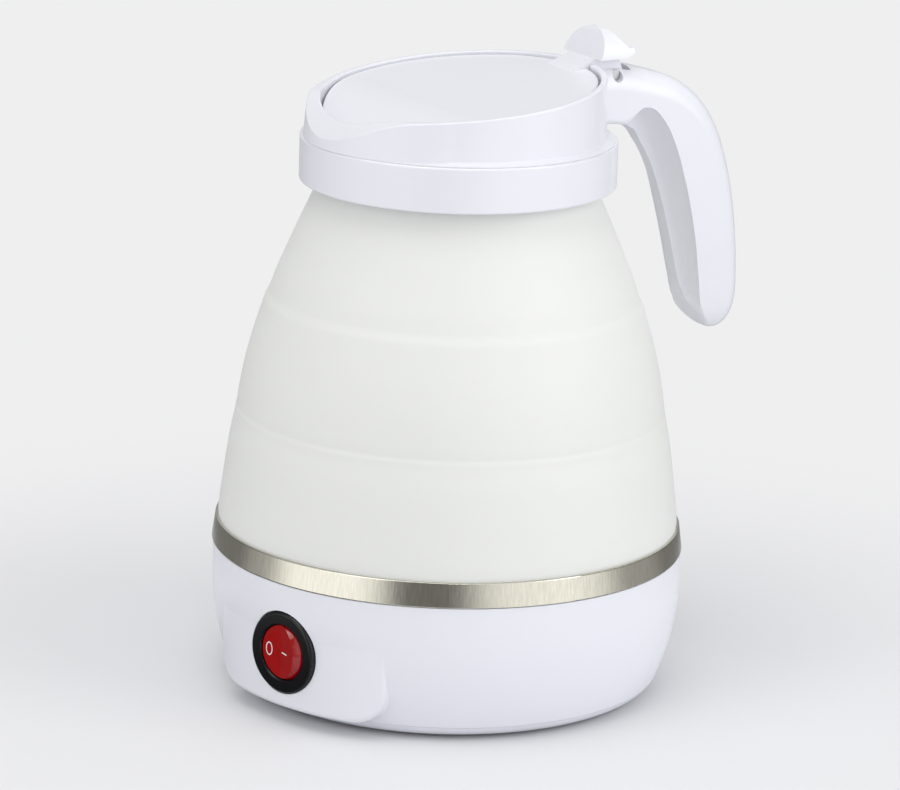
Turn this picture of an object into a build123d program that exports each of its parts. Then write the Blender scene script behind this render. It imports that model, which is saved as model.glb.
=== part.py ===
from build123d import *
import os
from math import acos, copysign, cos, radians, sin, sqrt, tan

# Travel kettle that folds flat: a heated base, a silicone body with two fold lines, and a
# pouring head with a lid and a handle. Millimetres. The axis of the body is Z, the kettle stands
# on z = 0, the handle is towards +X and the spout towards -X.

# Clearances between pieces that meet
joint_gap = 0.05        # pieces of one body, side by side
seat_gap = 0.2          # a piece in its recess
moving_gap = 0.3        # pieces that move past each other
bore_gap = 0.05         # a pin or trunnion in its bore, on the radius
overrun = 10.0          # how far a cut runs past what it cuts

# Base housing: a moulded shell whose side curves in towards the bottom
base_radius = 63.7
side_arc_radius = 68.0
side_upright_z = 30.0
seam_z = 4.2
shoulder_z = 38.5
housing_wall = 2.2
silicone_seat_height = 1.1
top_flange_thickness = 2.2
pan_shelf_thickness = 2.0
base_turn = 16.0        # the round clamp lets the base sit turned against the head, degrees

# Raised pads on the housing, one for the switch and one for the inlet
pad_set_back = 0.2      # inside the widest part of the base
pad_half_width = 29.8
pad_corner_radius = 9.0
pad_edge_radius = 1.6
pad_lift = 0.3

# Bottom cover
foot_proud = 0.8
cover_edge_run = 11.0   # from the flat of the bottom out to the widest part of the base
cover_floor_thickness = 2.0
cover_recess_inset = 16.7
cover_recess_depth = 0.8
cover_spigot_height = 3.0
cover_spigot_wall = 1.8
vent_count = 6
vent_length = 12.0
vent_width = 1.6
vent_inset = 9.0

# Feet and base screws, both on circles set in from the edge of the flat bottom
foot_count = 4
foot_radius = 4.5
foot_inset = 7.7
foot_pocket_depth = 1.2
screw_angles = (60.0, 120.0, 240.0, 300.0)
screw_inset = 4.7
screw_boss_radius = 4.0
screw_boss_top_z = 24.0
screw_well_height = 5.8
screw_head_radius = 2.8
screw_head_height = 1.9
screw_head_depth = 1.1
screw_shank_radius = 1.4
screw_length = 12.0
screw_slot_width = 0.8
screw_slot_depth = 0.9
boss_web_thickness = 1.6

# Steel band around the foot of the silicone
band_gap = 0.2
band_height = 6.5
band_proud = 0.3        # stands out from the base
band_taper = 0.9
band_thickness = 0.7

# Steel pan, the floor of the water chamber
pan_floor_z = 33.0
pan_thickness = 0.8
pan_set_back = 4.5      # its wall, inside the widest part of the base
pan_shelf_width = 5.2
pan_corner_radius = 5.0
pan_rim_above_band = 1.0

# Heater under the pan
diffuser_set_back = 18.2
diffuser_thickness = 2.5
heater_set_back = 12.0
heater_tube_radius = 3.3
heater_gap_angle = 50.0
heater_pin_radius = 1.1
heater_pin_length = 9.0
thermostat_radius = 8.0
thermostat_cap_height = 2.6
thermostat_neck_radius = 6.9
thermostat_height = 6.5
thermostat_blade_width = 4.8
thermostat_blade_thickness = 0.8
thermostat_blade_length = 8.0
bracket_length = 34.0
bracket_width = 17.0
bracket_thickness = 1.0
bracket_foot = 7.0
bracket_screw_radius = 1.5
fuse_radius = 2.0
fuse_length = 16.0
fuse_offset = 16.0

# Round rocker switch
switch_z = 19.9
switch_seat_depth = 1.2     # of its flange, in the pad
switch_flange_radius = 11.15
switch_flange_thickness = 1.7
switch_flange_round = 0.9
switch_body_radius = 9.9
switch_body_depth = 15.0
switch_mouth_radius = 7.9
switch_mouth_depth = 0.5
switch_cavity_depth = 9.5
rocker_ball_radius = 8.2
rocker_pivot_depth = 2.6
rocker_throw = 18.0
rocker_valley_height = 1.2
rocker_bottom_depth = 3.4
rocker_pivot_radius = 1.0
rocker_pivot_reach = 0.8
rocker_mark_depth = 0.25
rocker_ring_offset = 4.6
rocker_ring_width = 1.5
rocker_ring_height = 2.6
rocker_mark_line = 0.35
rocker_dash_offset = 1.7
rocker_dash_length = 2.0
blade_width = 4.8
blade_thickness = 0.8
blade_length = 7.5
blade_pitch = 5.5

# Power inlet on the other side of the base
inlet_z = 18.0
inlet_seat_depth = 1.6
inlet_flange_width = 30.0
inlet_flange_height = 22.0
inlet_flange_thickness = 1.6
inlet_body_width = 27.0
inlet_body_height = 19.6
inlet_body_depth = 18.5
inlet_cavity_width = 24.2
inlet_cavity_height = 17.0
inlet_back_wall = 3.0
inlet_corner_cut = 4.2
inlet_corner_radius = 2.0
inlet_pin_width = 2.0
inlet_pin_height = 4.0
inlet_pin_spacing = 7.0
inlet_pin_offset = 2.0
inlet_pin_recess = 2.0
inlet_tail_length = 6.0

# Silicone body: three rings between two fold lines
silicone_wall = 2.4
lower_ring_height = 31.4
middle_ring_height = 30.5
upper_ring_height = 31.4
ring_set_back = 0.8     # behind the top of the band
lower_ring_taper = 4.5
middle_ring_taper = 8.6
upper_ring_taper = 12.3
fold_step = 0.7
fold_lip = 1.8
high_fold_step = 1.7
ring_belly = 0.9
upper_shoulder_taper = 1.3
upper_shoulder_rise = 5.5
upper_middle_taper = 5.8
upper_middle_rise = 16.6
neck_flange_width = 4.1
neck_flange_thickness = 2.5

# Collar that holds the silicone to the pouring head
collar_height = 12.1
collar_wall = 1.2
collar_lip_thickness = 1.8
collar_top_round = 0.6
collar_bottom_round = 0.5

# Pouring head: wall, sloping rim, flared spout
head_step = 3.2         # its wall, in from the side of the collar
head_taper = 0.9
head_foot_width = 2.4   # soft foot that covers the joint with the collar
head_foot_rise = 1.1
throat_inset = 3.4      # in from the outside of the silicone neck
rim_rise = 13.6         # rim above the collar, on the axis
rim_tilt = 5.9
rim_width = 1.2         # at the top, between the lid's bed and the outside
rim_round = 0.45
lip_offset = 6.4
spout_drop = 6.9
spout_run = 12.5
channel_half_width = 7.0
channel_depth = 6.5
channel_step = 3.0      # floor of the pouring channel, below the tip of the lip

# Lid: a round plate in its bed, its plug, its seal and the thumb lever
lid_gap = 0.7
pour_gap = 1.9          # gap between the lid and the tip of the lip
lid_sink = 0.8
lid_thickness = 2.4
lid_round = 0.4
lid_droop = 5.5         # the lid bends down towards the spout, over this run
lid_droop_run = 21.5
plug_gap = 1.6
plug_depth = 4.6
plug_wall = 1.8
plug_cut = 11.9         # the plug is cut back by this on the spout side
seal_gap = 0.4
seal_height = 2.0
seal_depth = 1.6

# Hinge at the root of the handle, and the thumb lever over it. Places of the lever are counted
# from the hinge pin.
pin_reach = 8.1         # beyond the lid's edge
pin_rise = 0.5          # above the middle of the rim
pin_radius = 1.6
pin_recess = 2.4
knuckle_radius = 3.1
knuckle_half_width = 6.2
lever_half_width = 9.4
lever_front = 6.2
lever_foot = 4.8
lever_peak_back = 2.4
lever_peak = 12.6
lever_pad_reach = 1.0
lever_pad = 9.8
lever_rear_reach = 4.6
lever_rear = 7.7
lever_round = 0.9
lever_foot_cut = 2.6    # how far its foot is cut back behind, so that it clears the handle
arm_ramp = 7.5          # ramp from the lid up to the foot of the lever
lid_opening = 40.0

# Handle: a bowed bar that hangs free at its lower end. Each section has a point on its back
# and one on its inside, as shares of the reach and the drop, and a share of the width.
handle_reach = 52.1
handle_drop = 78.0
handle_width = 20.0
handle_root_inset = 1.3 # the root starts this far inside the outside of the head
handle_rise = 16.8      # top of the root above the collar
handle_section_shares = (
    ((0.000, 0.000), (0.000, 0.197), 0.95),
    ((0.163, 0.003), (0.153, 0.206), 0.95),
    ((0.365, 0.032), (0.300, 0.240), 0.97),
    ((0.537, 0.071), (0.365, 0.293), 0.99),
    ((0.691, 0.148), (0.421, 0.352), 1.00),
    ((0.814, 0.271), (0.473, 0.428), 0.99),
    ((0.905, 0.446), (0.533, 0.540), 0.96),
    ((0.963, 0.633), (0.590, 0.672), 0.90),
    ((0.996, 0.806), (0.641, 0.806), 0.80),
    ((1.000, 0.890), (0.689, 0.884), 0.73),
    ((0.984, 0.945), (0.747, 0.935), 0.64),
    ((0.945, 0.981), (0.800, 0.973), 0.47),
    ((0.900, 0.996), (0.838, 0.992), 0.25),
)
handle_back_round = 6.4
scoop_set_back = 7.1    # furthest that the edge of a side scoop stands back from the inside
handle_side_shares = (  # place along the sections, set-back, half width of the inside, hollow of the side
    (0.000, 0.21, 0.85, 0.0),
    (0.095, 0.21, 0.85, 0.0),
    (0.122, 0.52, 0.65, 0.4),
    (0.136, 0.80, 0.48, 0.7),
    (0.158, 0.97, 0.34, 1.0),
    (0.190, 1.00, 0.25, 1.0),
    (0.250, 0.98, 0.20, 1.0),
    (0.333, 0.78, 0.19, 1.0),
    (0.417, 0.64, 0.19, 1.0),
    (0.500, 0.56, 0.19, 1.0),
    (0.583, 0.51, 0.21, 1.0),
    (0.667, 0.44, 0.27, 1.0),
    (0.720, 0.34, 0.40, 0.9),
    (0.765, 0.25, 0.58, 0.5),
    (0.815, 0.20, 0.74, 0.1),
    (0.870, 0.18, 0.78, 0.0),
    (0.940, 0.14, 0.74, 0.0),
    (1.000, 0.07, 0.66, 0.0),
)
handle_section_gap = 2.6
handle_tip_share = 0.72
handle_screw_rise = 5.0     # above the collar
handle_screw_spread = 5.0
handle_screw_radius = 1.4
handle_screw_length = 12.0
handle_screw_head_radius = 2.7
handle_screw_head_height = 1.8
handle_screw_sink = 0.4

# Radii that follow from the sizes above
pad_radius = base_radius - pad_set_back
inlet_cavity_depth = inlet_body_depth - inlet_back_wall
cover_flat_radius = base_radius - cover_edge_run
cover_recess_radius = cover_flat_radius - cover_recess_inset
vent_circle_radius = cover_recess_radius - vent_inset
foot_circle_radius = cover_flat_radius - foot_inset
screw_circle_radius = cover_flat_radius - screw_inset
switch_face = pad_radius - switch_seat_depth
inlet_face = pad_radius - inlet_seat_depth
band_bottom_radius = base_radius + band_proud
band_top_radius = band_bottom_radius - band_taper
pan_radius = base_radius - pan_set_back
pan_shelf_radius = pan_radius - pan_shelf_width
diffuser_radius = pan_radius - diffuser_set_back
heater_ring_radius = diffuser_radius - heater_set_back
ring_foot_radius = band_top_radius - ring_set_back
ring_low_fold_radius = ring_foot_radius - lower_ring_taper
ring_high_fold_radius = ring_low_fold_radius - middle_ring_taper
upper_shoulder_radius = ring_high_fold_radius - upper_shoulder_taper
upper_middle_radius = ring_high_fold_radius - upper_middle_taper
neck_radius = ring_high_fold_radius - upper_ring_taper
neck_flange_radius = neck_radius + neck_flange_width
collar_bore_radius = neck_flange_radius + moving_gap
collar_radius = collar_bore_radius + collar_wall
lip_radius = collar_radius
head_wall_radius = collar_radius - head_step
head_top_radius = head_wall_radius - head_taper
throat_radius = neck_radius - throat_inset
lid_radius = head_top_radius - rim_width - lid_gap
plug_radius = throat_radius - plug_gap
seal_radius = throat_radius - seal_gap

# Heights that follow from the sizes above
silicone_foot_z = shoulder_z + silicone_seat_height
band_bottom_z = shoulder_z + band_gap
band_top_z = band_bottom_z + band_height
low_fold_z = band_top_z + lower_ring_height
high_fold_z = low_fold_z + middle_ring_height
collar_bottom_z = high_fold_z + upper_ring_height
collar_top_z = collar_bottom_z + collar_height
neck_flange_z = collar_bottom_z + collar_lip_thickness
head_bottom_z = neck_flange_z + neck_flange_thickness
rim_z = collar_top_z + rim_rise
pan_top_z = band_top_z + pan_rim_above_band
heater_z = pan_floor_z - diffuser_thickness
handle_screw_z = collar_top_z + handle_screw_rise
sky_z = rim_z + pin_rise + lever_peak + overrun

# Places about the hinge that follow from the sizes above
pin_x = lid_radius + pin_reach
pin_z = rim_z + pin_rise
lever_front_x = pin_x - lever_front
lever_foot_z = pin_z + lever_foot
lever_peak_x = pin_x - lever_peak_back
lever_peak_z = pin_z + lever_peak
lever_pad_x = pin_x + lever_pad_reach
lever_pad_z = pin_z + lever_pad
lever_rear_x = pin_x + lever_rear_reach
lever_rear_z = pin_z + lever_rear
handle_root_x = head_wall_radius - handle_root_inset


def side_radius(z, inset=0.0):
    """Outside radius of the base at height z, or the radius of a skin inset from it."""
    drop = max(side_upright_z - z, 0.0)
    arc = side_arc_radius - inset
    return base_radius - side_arc_radius + sqrt(arc * arc - drop * drop)


def turned(*lines):
    """Solid of revolution about Z from connected lines drawn in radius and height."""
    return revolve(Plane.XZ * make_face(Wire(list(lines))), Axis.Z)


def path(*points):
    return Polyline(*points)


def edges_of(*lines):
    return [edge for line in lines for edge in line.edges()]


def ring(outer, inner, bottom, top):
    """Plain ring about Z."""
    body = Pos(0, 0, (bottom + top) / 2) * Cylinder(outer, top - bottom)
    if inner > 0:
        body -= Pos(0, 0, (bottom + top) / 2) * Cylinder(inner, top - bottom + overrun)
    return body


def around(angle, body):
    """A base piece drawn at the switch side, turned about Z to its own place."""
    return Rot(0, 0, angle + base_turn) * body


def outward(distance, z):
    """Frame on the switch side of the base: x to the right seen from outside, y up, z outwards."""
    return Plane(origin=(-distance, 0, z), x_dir=(0, -1, 0), z_dir=(-1, 0, 0)).location


def save(name, body):
    solids = body.solids()
    export_step(Compound(children=list(solids)) if len(solids) > 1 else solids[0], f"parts/{name}.step")


# Base housing


def pad_window(inset):
    """Upright plate seen from outside: square above, rounded at its two lower corners."""
    half = pad_half_width - inset
    low = seam_z + pad_lift + inset
    face = Rectangle(2 * half, side_upright_z - low, align=(Align.CENTER, Align.MIN))
    corners = face.vertices().sort_by(Axis.Y)[:2]
    return extrude(outward(0, low) * fillet(corners, pad_corner_radius - inset), base_radius)


def pad(inset):
    """Raised pad that stands upright where the side of the base curves in."""
    body = pad_window(inset) & ring(pad_radius - inset, 0, 0, shoulder_z)
    if inset > 0:
        return body
    rim = [e for e in body.edges() if min(v.X for v in e.vertices()) < -pad_radius / 2]
    rim = [e for e in rim if abs(sqrt(e.center().X ** 2 + e.center().Y ** 2) - pad_radius) < pad_edge_radius]
    return fillet([e for e in rim if e.center().Z < side_upright_z - joint_gap], pad_edge_radius)


def screw_posts():
    """Bosses that the bottom screws bite into, each webbed to the wall."""
    posts = None
    low = screw_well_height + seat_gap
    web_low = seam_z + cover_spigot_height + seat_gap
    for angle in screw_angles:
        post = Pos(-screw_circle_radius, 0, 0) * ring(screw_boss_radius, 0, low, screw_boss_top_z)
        reach = side_radius(screw_boss_top_z) - housing_wall / 2 - screw_circle_radius
        web = Box(reach, boss_web_thickness, screw_boss_top_z - web_low,
                  align=(Align.MAX, Align.CENTER, Align.MIN))
        web = Pos(-screw_circle_radius, 0, web_low) * web
        web &= turned_side(housing_wall / 2)
        pilot = ring(screw_shank_radius + joint_gap, 0, low - overrun, low + screw_length)
        one = around(angle, post + web - Pos(-screw_circle_radius, 0, 0) * pilot)
        posts = one if posts is None else posts + one
    return posts


def turned_side(inset):
    """Solid inside the curved side of the base, inset from its outer skin."""
    low, high = seam_z, side_upright_z
    middle = (low + high) / 2
    arc = ThreePointArc((side_radius(low, inset), low), (side_radius(middle, inset), middle),
                        (side_radius(high, inset), high))
    rest = path(arc @ 1, (base_radius - inset, shoulder_z), (0, shoulder_z), (0, low), arc @ 0)
    return turned(*edges_of(arc, rest))


def base_housing():
    body = turned_side(0) + around(0, pad(0)) + around(180, pad(0))
    seat_radius = band_bottom_radius - band_thickness - seat_gap
    body += ring(seat_radius, 0, shoulder_z, silicone_foot_z)
    hollow = turned_side(housing_wall) & ring(base_radius, 0, 0, shoulder_z - top_flange_thickness)
    hollow += around(0, pad(housing_wall)) + around(180, pad(housing_wall))
    hollow += ring(side_radius(seam_z, housing_wall), 0, 0, seam_z + seat_gap)
    body -= hollow
    body -= ring(pan_radius + seat_gap, 0, shoulder_z - overrun, shoulder_z + overrun)
    shelf_top = pan_floor_z
    body += ring(base_radius - housing_wall / 2, pan_shelf_radius, shelf_top - pan_shelf_thickness, shelf_top)
    body += screw_posts()
    hole = switch_body_radius + seat_gap
    spot = switch_flange_radius + seat_gap
    body -= around(0, outward(switch_face, switch_z) * Cylinder(
        spot, overrun, align=(Align.CENTER, Align.CENTER, Align.MIN)))
    body -= around(0, outward(switch_face - overrun / 2, switch_z) * Cylinder(hole, 2 * overrun))
    seat = Box(inlet_flange_width + 2 * seat_gap, inlet_flange_height + 2 * seat_gap, overrun,
               align=(Align.CENTER, Align.CENTER, Align.MIN))
    body -= around(180, outward(inlet_face, inlet_z) * seat)
    slot = Box(inlet_body_width + 2 * seat_gap, inlet_body_height + 2 * seat_gap, 2 * overrun)
    body -= around(180, outward(inlet_face - overrun / 2, inlet_z) * slot)
    return body


# Bottom cover, feet and screws


def bottom_cover():
    edge_radius = side_radius(seam_z)
    rise = seam_z - joint_gap - foot_proud
    run = edge_radius - cover_flat_radius
    bend = (run * run + rise * rise) / (2 * rise)
    arc = RadiusArc((cover_flat_radius, foot_proud), (edge_radius, foot_proud + rise), -bend)
    floor = foot_proud + cover_floor_thickness
    spigot = side_radius(seam_z, housing_wall) - seat_gap
    lip = path(arc @ 1, (spigot, foot_proud + rise), (spigot, seam_z + cover_spigot_height),
               (spigot - cover_spigot_wall, seam_z + cover_spigot_height), (spigot - cover_spigot_wall, floor),
               (0, floor), (0, foot_proud), arc @ 0)
    body = turned(*edges_of(arc, lip))
    body -= ring(cover_recess_radius, 0, foot_proud - overrun, foot_proud + cover_recess_depth)
    for k in range(foot_count):
        spot = around(360.0 * k / foot_count, Pos(-foot_circle_radius, 0, 0) * ring(
            foot_radius + seat_gap, 0, -overrun, foot_pocket_depth + foot_proud))
        body -= spot
    for angle in screw_angles:
        place = Pos(-screw_circle_radius, 0, 0)
        head_z = foot_proud + screw_head_depth
        well = ring(screw_boss_radius, 0, foot_proud, screw_well_height)
        body += around(angle, place * well)
        bore = ring(screw_head_radius + seat_gap, 0, -overrun, head_z + screw_head_height)
        bore += ring(screw_shank_radius + seat_gap, 0, 0, screw_well_height + overrun)
        body -= around(angle, place * bore)
    for k in range(vent_count):
        slot = SlotOverall(vent_length, vent_width)
        slot = extrude(Pos(vent_circle_radius, 0, 0) * slot, 2 * overrun, both=True)
        body -= around(360.0 * (k + 0.5) / vent_count, slot)
    return body


def rubber_feet():
    top = foot_proud + foot_pocket_depth - joint_gap
    foot = chamfer(ring(foot_radius, 0, 0, top).edges().sort_by(Axis.Z)[0], foot_proud / 2)
    return [around(360.0 * k / foot_count, Pos(-foot_circle_radius, 0, 0) * foot) for k in range(foot_count)]


def screw(shank_radius, shank_length, head_radius, head_height):
    """Pan-head screw along +Z with the top of its head at z = 0, pointing up from there."""
    head = chamfer(ring(head_radius, 0, 0, head_height).edges().sort_by(Axis.Z)[0], head_height / 4)
    head -= Box(2 * head_radius, screw_slot_width, 2 * screw_slot_depth)
    return head + ring(shank_radius, 0, head_height / 2, head_height + shank_length)


def base_screws():
    one = screw(screw_shank_radius, screw_length, screw_head_radius, screw_head_height - joint_gap)
    place = Pos(-screw_circle_radius, 0, foot_proud + screw_head_depth)
    return [around(angle, place * one) for angle in screw_angles]


# Steel band and pan


def metal_band():
    inner_top = band_top_radius - band_thickness
    inner_bottom = band_bottom_radius - band_thickness
    outline = path((inner_bottom, band_bottom_z), (band_bottom_radius, band_bottom_z),
                   (band_top_radius, band_top_z), (inner_top, band_top_z), (inner_bottom, band_bottom_z))
    band = turned(*edges_of(outline))
    outside = band.edges().filter_by(GeomType.CIRCLE).sort_by(lambda e: e.radius)
    corners = [e for e in outside if abs(e.radius - band_bottom_radius) < joint_gap
               or abs(e.radius - band_top_radius) < joint_gap]
    return fillet(corners, band_thickness / 3)


def steel_pan():
    outer = FilletPolyline((0, pan_floor_z), (pan_radius, pan_floor_z), (pan_radius, pan_top_z),
                           radius=pan_corner_radius)
    inside = pan_radius - pan_thickness
    floor = pan_floor_z + pan_thickness
    inner = FilletPolyline((0, floor), (inside, floor), (inside, pan_top_z),
                           radius=pan_corner_radius - pan_thickness)
    pan = turned(*edges_of(outer, Line(outer @ 1, inner @ 1), inner, Line(inner @ 0, outer @ 0)))
    return pan


# Heater, thermostat and fuse under the pan


def diffuser_plate():
    plate = ring(diffuser_radius, 0, heater_z, pan_floor_z - joint_gap)
    return chamfer(plate.edges().sort_by(Axis.Z)[0], diffuser_thickness / 3)


def heater_tube_z():
    return heater_z - heater_tube_radius - joint_gap


def heater_element():
    """Horseshoe tube brazed under the plate, its two ends towards the inlet."""
    section = Plane.XZ * Pos(heater_ring_radius, heater_tube_z()) * Circle(heater_tube_radius)
    sweep_angle = 360.0 - heater_gap_angle
    tube = Rot(0, 0, heater_gap_angle / 2) * revolve(section, Axis.Z, sweep_angle)
    return around(0, tube)


def heater_pins():
    pins = []
    for side in (-1, 1):
        angle = radians(side * heater_gap_angle / 2)
        place = (heater_ring_radius * cos(angle), heater_ring_radius * sin(angle), heater_tube_z())
        along = (side * sin(angle), -side * cos(angle), 0)
        pin = Plane(origin=place, z_dir=along) * Cylinder(
            heater_pin_radius, heater_pin_length, align=(Align.CENTER, Align.CENTER, Align.MIN))
        pins.append(around(0, Pos(0, 0, 0) * pin))
    return pins


def thermostat():
    """Cap against the plate, a smaller body under it and two blades."""
    top = heater_z - joint_gap
    body = ring(thermostat_radius, 0, top - thermostat_cap_height, top)
    body += ring(thermostat_neck_radius, 0, top - thermostat_height, top)
    blade = Box(thermostat_blade_width, thermostat_blade_thickness, thermostat_blade_length,
                align=(Align.CENTER, Align.CENTER, Align.MAX))
    for side in (-1, 1):
        body += Pos(0, side * thermostat_neck_radius / 2, top - thermostat_height + joint_gap) * blade
    return around(0, body)


def thermostat_bracket():
    """Strap that holds the cap up, with a foot at each end against the plate."""
    low = heater_z - thermostat_cap_height - bracket_thickness - 2 * joint_gap
    strap = Box(bracket_width, bracket_length, bracket_thickness, align=(Align.CENTER, Align.CENTER, Align.MIN))
    foot = Box(bracket_width, bracket_foot, heater_z - joint_gap - low, align=(Align.CENTER, Align.MAX, Align.MIN))
    body = strap + Pos(0, bracket_length / 2, 0) * foot
    body += Rot(0, 0, 180) * Pos(0, bracket_length / 2, 0) * foot
    body = Pos(0, 0, low) * body
    return around(0, body - ring(thermostat_neck_radius + seat_gap, 0, 0, sky_z))


def bracket_screws():
    low = heater_z - thermostat_cap_height - bracket_thickness - 3 * joint_gap
    heads = []
    for side in (-1, 1):
        head = ring(bracket_screw_radius, 0, low - bracket_screw_radius, low)
        head = chamfer(head.edges().sort_by(Axis.Z)[0], bracket_screw_radius / 3)
        heads.append(around(0, Pos(0, side * (bracket_length - bracket_foot) / 2, 0) * head))
    return heads


def thermal_fuse():
    z = heater_z - fuse_radius - joint_gap
    tube = Rot(90, 0, 0) * Cylinder(fuse_radius, fuse_length)
    return around(0, Pos(-fuse_offset, 0, z) * chamfer(tube.edges(), fuse_radius / 2))


# Rocker switch


def switch_housing():
    low = (Align.CENTER, Align.CENTER, Align.MIN)
    high = (Align.CENTER, Align.CENTER, Align.MAX)
    flange = Cylinder(switch_flange_radius, switch_flange_thickness, align=low)
    flange = fillet(flange.edges().sort_by(Axis.Z)[-1], switch_flange_round)
    body = flange + Cylinder(switch_body_radius, switch_body_depth, align=high)
    throat = rocker_ball_radius + moving_gap
    cavity = Sphere(throat) + Cylinder(throat, switch_cavity_depth, align=high)
    cavity += Rot(90, 0, 0) * Cylinder(rocker_pivot_radius + bore_gap, 2 * (throat + rocker_pivot_reach))
    dish = Pos(0, 0, switch_flange_thickness) * Rot(180, 0, 0) * Cone(
        switch_mouth_radius, switch_mouth_radius - switch_mouth_depth, switch_mouth_depth, align=low)
    body -= Pos(0, 0, -rocker_pivot_depth) * cavity
    return around(0, outward(switch_face, switch_z) * (body - dish))


def rocker_marks():
    """A ring on the side that is pressed for off, and a dash on the other side."""
    outer = Ellipse(rocker_ring_width / 2, rocker_ring_height / 2)
    inner = Ellipse(rocker_ring_width / 2 - rocker_mark_line, rocker_ring_height / 2 - rocker_mark_line)
    dash = Rectangle(rocker_dash_length, rocker_mark_line)
    return (-rocker_ring_offset, outer - inner), (rocker_dash_offset, dash)


def switch_rocker():
    """Ball-sided rocker, its two faces meeting in a valley, resting with the ring side pressed."""
    lean = radians(rocker_throw / 2)
    reach = 2 * rocker_ball_radius
    top = rocker_valley_height + rocker_pivot_depth
    ball = Sphere(rocker_ball_radius)
    valley = Polygon((0, top), (reach, top + reach * tan(lean)), (reach, 2 * reach), (-reach, 2 * reach),
                     (-reach, top + reach * tan(lean)), align=None)
    body = ball - extrude(Plane.XZ * valley, reach, both=True)
    floor = rocker_pivot_depth - rocker_bottom_depth
    body -= Pos(0, 0, floor) * Box(2 * reach, 2 * reach, reach, align=(Align.CENTER, Align.CENTER, Align.MAX))
    body += Rot(90, 0, 0) * Cylinder(rocker_pivot_radius, 2 * (rocker_ball_radius + rocker_pivot_reach))
    for offset, mark in rocker_marks():
        face = Pos(offset, 0, top + abs(offset) * tan(lean)) * Rot(0, -copysign(rocker_throw / 2, offset), 0)
        body -= face * extrude(Pos(0, 0, -rocker_mark_depth) * mark, rocker_ball_radius)
    tilted = Pos(0, 0, -rocker_pivot_depth) * Rot(0, -rocker_throw / 2, 0) * body
    return around(0, outward(switch_face, switch_z) * tilted)


def switch_terminals():
    blades = []
    for k in (-1, 0, 1):
        blade = Box(blade_thickness, blade_width, blade_length, align=(Align.CENTER, Align.CENTER, Align.MAX))
        hole = Rot(0, 90, 0) * Cylinder(blade_width / 5, 2 * blade_width)
        blade -= Pos(0, 0, -blade_length * 0.6) * hole
        place = outward(switch_face - switch_body_depth - joint_gap, switch_z)
        blades.append(around(0, place * Pos(k * blade_pitch, 0, 0) * blade))
    return blades


# Power inlet


def inlet_outline(width, height):
    """Inlet opening: rounded below, with its two upper corners cut off."""
    w, h, c = width / 2, height / 2, inlet_corner_cut
    shape = Polygon((-w, -h), (w, -h), (w, h - c), (w - c, h), (-w + c, h), (-w, h - c), align=None)
    return fillet(shape.vertices().sort_by(Axis.Y)[:2], inlet_corner_radius)


def inlet_socket():
    low = (Align.CENTER, Align.CENTER, Align.MIN)
    high = (Align.CENTER, Align.CENTER, Align.MAX)
    flange = Box(inlet_flange_width, inlet_flange_height, inlet_flange_thickness, align=low)
    flange = fillet(flange.edges().filter_by(Axis.Z), inlet_corner_radius)
    body = flange + Box(inlet_body_width, inlet_body_height, inlet_body_depth, align=high)
    front = Plane.XY.offset(inlet_flange_thickness)
    opening = inlet_outline(inlet_cavity_width, inlet_cavity_height)
    body -= extrude(front * opening, -(inlet_flange_thickness + inlet_cavity_depth))
    for x, y in inlet_pin_places():
        hole = Box(inlet_pin_width + 2 * joint_gap, inlet_pin_height + 2 * joint_gap, 4 * inlet_body_depth)
        body -= Pos(x, y, 0) * hole
    return around(180, outward(inlet_face, inlet_z) * body)


def inlet_pin_places():
    return ((-inlet_pin_spacing, -inlet_pin_offset), (0, inlet_pin_offset), (inlet_pin_spacing, -inlet_pin_offset))


def inlet_pins():
    pins = []
    top = inlet_flange_thickness - inlet_pin_recess
    length = top + inlet_body_depth + inlet_tail_length
    for x, y in inlet_pin_places():
        pin = Box(inlet_pin_width, inlet_pin_height, length, align=(Align.CENTER, Align.CENTER, Align.MAX))
        pin = chamfer(pin.faces().sort_by(Axis.Z)[-1].edges(), inlet_pin_width / 4)
        pins.append(around(180, outward(inlet_face, inlet_z) * Pos(x, y, top) * pin))
    return pins


# Silicone body


def silicone_lower_ring():
    top = ring_low_fold_radius
    belly = ring_foot_radius - (ring_foot_radius - top - fold_step) / 2 + ring_belly / 2
    side = ThreePointArc((ring_foot_radius, band_top_z), (belly, (band_top_z + low_fold_z - fold_lip) / 2),
                         (top + fold_step, low_fold_z - fold_lip))
    foot_top = band_top_radius - band_thickness - seat_gap
    foot_low = band_bottom_radius - band_thickness - seat_gap
    inside = pan_radius + joint_gap
    lip = path(side @ 1, (top, low_fold_z), (top - silicone_wall, low_fold_z),
               (top - silicone_wall + fold_step, low_fold_z - 2 * fold_lip))
    shelf = pan_top_z + seat_gap
    step = inside - silicone_wall / 2
    back = path(lip @ 1, (step, shelf), (inside, shelf), (inside, silicone_foot_z), (foot_low, silicone_foot_z),
                (foot_top, band_top_z), side @ 0)
    return turned(*edges_of(side, lip, back))


def silicone_middle_ring():
    low, high = ring_low_fold_radius, ring_high_fold_radius + high_fold_step
    belly = (low + high) / 2 + ring_belly
    side = ThreePointArc((low, low_fold_z), (belly, (low_fold_z + high_fold_z) / 2),
                         (high, high_fold_z - fold_lip))
    inner = ThreePointArc((high - silicone_wall, high_fold_z - fold_lip),
                          (belly - silicone_wall, (low_fold_z + high_fold_z) / 2),
                          (low - silicone_wall, low_fold_z))
    tip = path(side @ 1, (ring_high_fold_radius, high_fold_z), (ring_high_fold_radius - silicone_wall, high_fold_z),
               inner @ 0)
    return turned(*edges_of(side, tip, inner, Line(inner @ 1, side @ 0)))


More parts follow.
